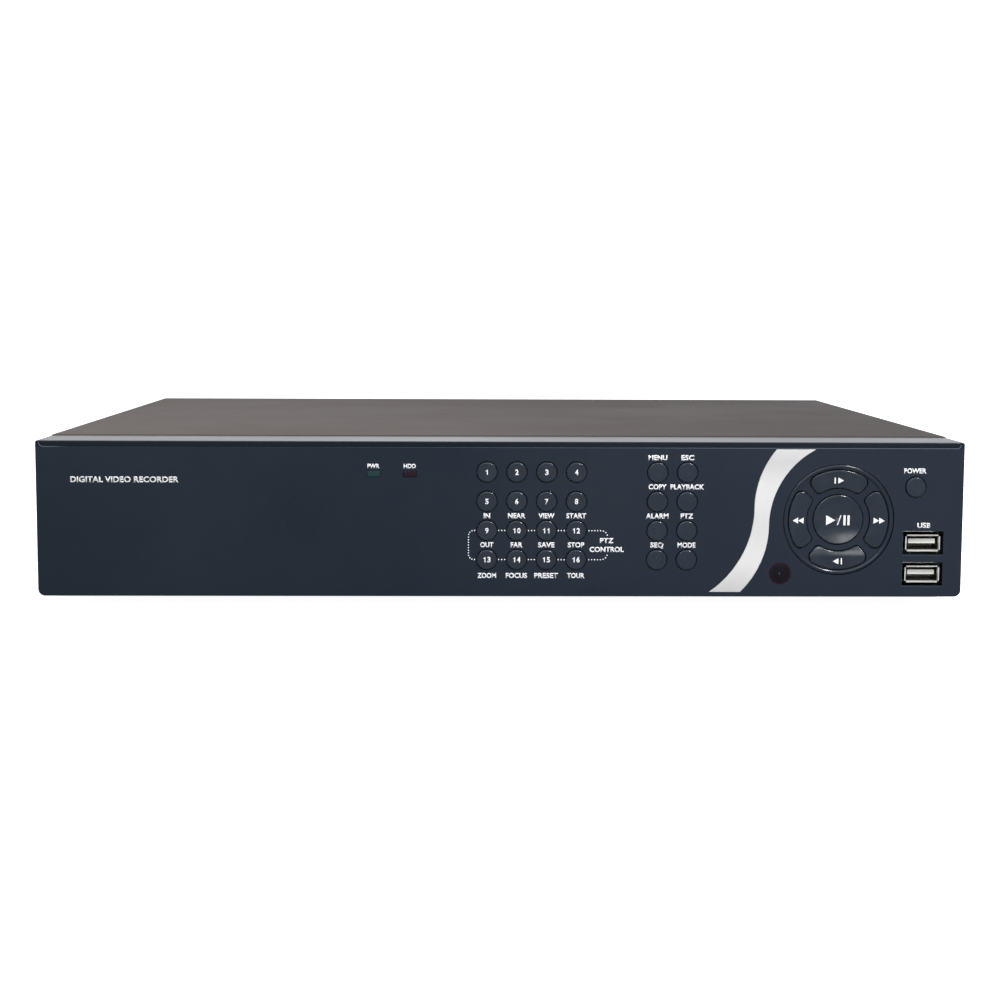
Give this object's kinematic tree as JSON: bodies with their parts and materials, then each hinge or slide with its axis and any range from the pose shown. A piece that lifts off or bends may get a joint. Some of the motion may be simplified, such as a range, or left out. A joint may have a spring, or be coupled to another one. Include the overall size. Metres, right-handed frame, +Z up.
{
  "type": "video recorder",
  "caption": "Flat steel surveillance recorder with a moulded front of round keys, a round control pad and two sockets, and a rear panel of camera, sound, screen, network and mains sockets.",
  "frame": {"origin": "middle of the bounding box, on the plane under the feet", "axes": "+Z up, the front faces -Y, +X to the right of someone facing the front"},
  "size_m": [0.38, 0.3314, 0.0687],
  "materials": {
    "front_plastic": "fine satin grain, blue-black",
    "key_plastic": "satin, with white printed figures",
    "stripe_silver": "satin silver coating",
    "window_red": "clear dark red, polished",
    "lens_green": "clear green, polished",
    "lens_red": "clear red, polished",
    "socket_steel": "bright nickel plate",
    "socket_white": "plain white",
    "board_green": "green solder mask",
    "switch_black": "plain black",
    "zinc_steel": "bright zinc plate",
    "cover_paint": "fine textured warm grey paint",
    "rear_paint": "fine textured warm grey paint",
    "foot_rubber": "matt black",
    "screw_steel": "bright nickel plate",
    "chip_black": "moulded epoxy",
    "sink_aluminium": "plain extruded",
    "jack_nickel": "nickel plate",
    "jack_insulator": "white insulator with a gilt contact",
    "socket_black": "plain black",
    "socket_blue": "nickel shell on a blue insulator",
    "terminal_green": "plain green",
    "inlet_black": "plain black",
    "supply_parts": "board, transformer and capacitors",
    "fan_black": "plain black",
    "drive_cast": "cast case under a plain lid",
    "lead_grey": "flat grey lead"
  },
  "bodies": {
    "case": {"front_bezel": "front_plastic", "pad_ring": "front_plastic", "silver_stripe": "stripe_silver", "ir_window": "window_red", "power_led_lens": "lens_green", "drive_led_lens": "lens_red", "usb_shells": "socket_steel", "usb_tongues": "socket_white", "front_board": "board_green", "key_switches": "switch_black", "base_pan": "zinc_steel", "top_cover": "cover_paint", "rear_panel": "rear_paint", "rubber_feet": "foot_rubber", "case_screws": "screw_steel", "main_board": "board_green", "board_chips": "chip_black", "heat_sink": "sink_aluminium", "video_jacks": "jack_nickel", "video_jack_cores": "jack_insulator", "audio_jacks": "socket_black", "screen_port": "socket_blue", "network_port": "socket_black", "alarm_terminals": "terminal_green", "power_inlet": "inlet_black", "power_supply": "supply_parts", "fan_frame": "fan_black", "hard_drive": "drive_cast", "wiring": "lead_grey"},
    "rotor": {"fan_rotor": "fan_black"},
    "key_1": {"key_1": "key_plastic"},
    "key_2": {"key_2": "key_plastic"},
    "key_3": {"key_3": "key_plastic"},
    "key_4": {"key_4": "key_plastic"},
    "key_5": {"key_5": "key_plastic"},
    "key_6": {"key_6": "key_plastic"},
    "key_7": {"key_7": "key_plastic"},
    "key_8": {"key_8": "key_plastic"},
    "key_9": {"key_9": "key_plastic"},
    "key_10": {"key_10": "key_plastic"},
    "key_11": {"key_11": "key_plastic"},
    "key_12": {"key_12": "key_plastic"},
    "key_13": {"key_13": "key_plastic"},
    "key_14": {"key_14": "key_plastic"},
    "key_15": {"key_15": "key_plastic"},
    "key_16": {"key_16": "key_plastic"},
    "key_menu": {"key_menu": "key_plastic"},
    "key_escape": {"key_escape": "key_plastic"},
    "key_copy": {"key_copy": "key_plastic"},
    "key_playback": {"key_playback": "key_plastic"},
    "key_alarm": {"key_alarm": "key_plastic"},
    "key_camera": {"key_camera": "key_plastic"},
    "key_sequence": {"key_sequence": "key_plastic"},
    "key_mode": {"key_mode": "key_plastic"},
    "key_power": {"key_power": "key_plastic"},
    "key_step_forward": {"key_step_forward": "key_plastic"},
    "key_fast_forward": {"key_fast_forward": "key_plastic"},
    "key_step_back": {"key_step_back": "key_plastic"},
    "key_rewind": {"key_rewind": "key_plastic"},
    "key_play_pause": {"key_play_pause": "key_plastic"}
  },
  "joints": [
    {"name": "key_1_press", "type": "slide", "parent": "case", "child": "key_1", "axis": [0, 1, 0], "range_m": [0, 0.0006], "stiffness_N_per_m": 800, "springref_m": -0.0005},
    {"name": "key_2_press", "type": "slide", "parent": "case", "child": "key_2", "axis": [0, 1, 0], "range_m": [0, 0.0006], "stiffness_N_per_m": 800, "springref_m": -0.0005},
    {"name": "key_3_press", "type": "slide", "parent": "case", "child": "key_3", "axis": [0, 1, 0], "range_m": [0, 0.0006], "stiffness_N_per_m": 800, "springref_m": -0.0005},
    {"name": "key_4_press", "type": "slide", "parent": "case", "child": "key_4", "axis": [0, 1, 0], "range_m": [0, 0.0006], "stiffness_N_per_m": 800, "springref_m": -0.0005},
    {"name": "key_5_press", "type": "slide", "parent": "case", "child": "key_5", "axis": [0, 1, 0], "range_m": [0, 0.0006], "stiffness_N_per_m": 800, "springref_m": -0.0005},
    {"name": "key_6_press", "type": "slide", "parent": "case", "child": "key_6", "axis": [0, 1, 0], "range_m": [0, 0.0006], "stiffness_N_per_m": 800, "springref_m": -0.0005},
    {"name": "key_7_press", "type": "slide", "parent": "case", "child": "key_7", "axis": [0, 1, 0], "range_m": [0, 0.0006], "stiffness_N_per_m": 800, "springref_m": -0.0005},
    {"name": "key_8_press", "type": "slide", "parent": "case", "child": "key_8", "axis": [0, 1, 0], "range_m": [0, 0.0006], "stiffness_N_per_m": 800, "springref_m": -0.0005},
    {"name": "key_9_press", "type": "slide", "parent": "case", "child": "key_9", "axis": [0, 1, 0], "range_m": [0, 0.0006], "stiffness_N_per_m": 800, "springref_m": -0.0005},
    {"name": "key_10_press", "type": "slide", "parent": "case", "child": "key_10", "axis": [0, 1, 0], "range_m": [0, 0.0006], "stiffness_N_per_m": 800, "springref_m": -0.0005},
    {"name": "key_11_press", "type": "slide", "parent": "case", "child": "key_11", "axis": [0, 1, 0], "range_m": [0, 0.0006], "stiffness_N_per_m": 800, "springref_m": -0.0005},
    {"name": "key_12_press", "type": "slide", "parent": "case", "child": "key_12", "axis": [0, 1, 0], "range_m": [0, 0.0006], "stiffness_N_per_m": 800, "springref_m": -0.0005},
    {"name": "key_13_press", "type": "slide", "parent": "case", "child": "key_13", "axis": [0, 1, 0], "range_m": [0, 0.0006], "stiffness_N_per_m": 800, "springref_m": -0.0005},
    {"name": "key_14_press", "type": "slide", "parent": "case", "child": "key_14", "axis": [0, 1, 0], "range_m": [0, 0.0006], "stiffness_N_per_m": 800, "springref_m": -0.0005},
    {"name": "key_15_press", "type": "slide", "parent": "case", "child": "key_15", "axis": [0, 1, 0], "range_m": [0, 0.0006], "stiffness_N_per_m": 800, "springref_m": -0.0005},
    {"name": "key_16_press", "type": "slide", "parent": "case", "child": "key_16", "axis": [0, 1, 0], "range_m": [0, 0.0006], "stiffness_N_per_m": 800, "springref_m": -0.0005},
    {"name": "key_menu_press", "type": "slide", "parent": "case", "child": "key_menu", "axis": [0, 1, 0], "range_m": [0, 0.0006], "stiffness_N_per_m": 800, "springref_m": -0.0005},
    {"name": "key_escape_press", "type": "slide", "parent": "case", "child": "key_escape", "axis": [0, 1, 0], "range_m": [0, 0.0006], "stiffness_N_per_m": 800, "springref_m": -0.0005},
    {"name": "key_copy_press", "type": "slide", "parent": "case", "child": "key_copy", "axis": [0, 1, 0], "range_m": [0, 0.0006], "stiffness_N_per_m": 800, "springref_m": -0.0005},
    {"name": "key_playback_press", "type": "slide", "parent": "case", "child": "key_playback", "axis": [0, 1, 0], "range_m": [0, 0.0006], "stiffness_N_per_m": 800, "springref_m": -0.0005},
    {"name": "key_alarm_press", "type": "slide", "parent": "case", "child": "key_alarm", "axis": [0, 1, 0], "range_m": [0, 0.0006], "stiffness_N_per_m": 800, "springref_m": -0.0005},
    {"name": "key_camera_press", "type": "slide", "parent": "case", "child": "key_camera", "axis": [0, 1, 0], "range_m": [0, 0.0006], "stiffness_N_per_m": 800, "springref_m": -0.0005},
    {"name": "key_sequence_press", "type": "slide", "parent": "case", "child": "key_sequence", "axis": [0, 1, 0], "range_m": [0, 0.0006], "stiffness_N_per_m": 800, "springref_m": -0.0005},
    {"name": "key_mode_press", "type": "slide", "parent": "case", "child": "key_mode", "axis": [0, 1, 0], "range_m": [0, 0.0006], "stiffness_N_per_m": 800, "springref_m": -0.0005},
    {"name": "key_power_press", "type": "slide", "parent": "case", "child": "key_power", "axis": [0, 1, 0], "range_m": [0, 0.0006], "stiffness_N_per_m": 800, "springref_m": -0.0005},
    {"name": "key_step_forward_press", "type": "slide", "parent": "case", "child": "key_step_forward", "axis": [0, 1, 0], "range_m": [0, 0.0006], "stiffness_N_per_m": 800, "springref_m": -0.0005},
    {"name": "key_fast_forward_press", "type": "slide", "parent": "case", "child": "key_fast_forward", "axis": [0, 1, 0], "range_m": [0, 0.0006], "stiffness_N_per_m": 800, "springref_m": -0.0005},
    {"name": "key_step_back_press", "type": "slide", "parent": "case", "child": "key_step_back", "axis": [0, 1, 0], "range_m": [0, 0.0006], "stiffness_N_per_m": 800, "springref_m": -0.0005},
    {"name": "key_rewind_press", "type": "slide", "parent": "case", "child": "key_rewind", "axis": [0, 1, 0], "range_m": [0, 0.0006], "stiffness_N_per_m": 800, "springref_m": -0.0005},
    {"name": "key_play_pause_press", "type": "slide", "parent": "case", "child": "key_play_pause", "axis": [0, 1, 0], "range_m": [0, 0.0006], "stiffness_N_per_m": 800, "springref_m": -0.0005},
    {"name": "fan_spin", "type": "hinge", "parent": "case", "child": "rotor", "pos_m": [0.103, 0.14775, 0.0315], "axis": [0, 1, 0], "continuous": true}
  ]
}
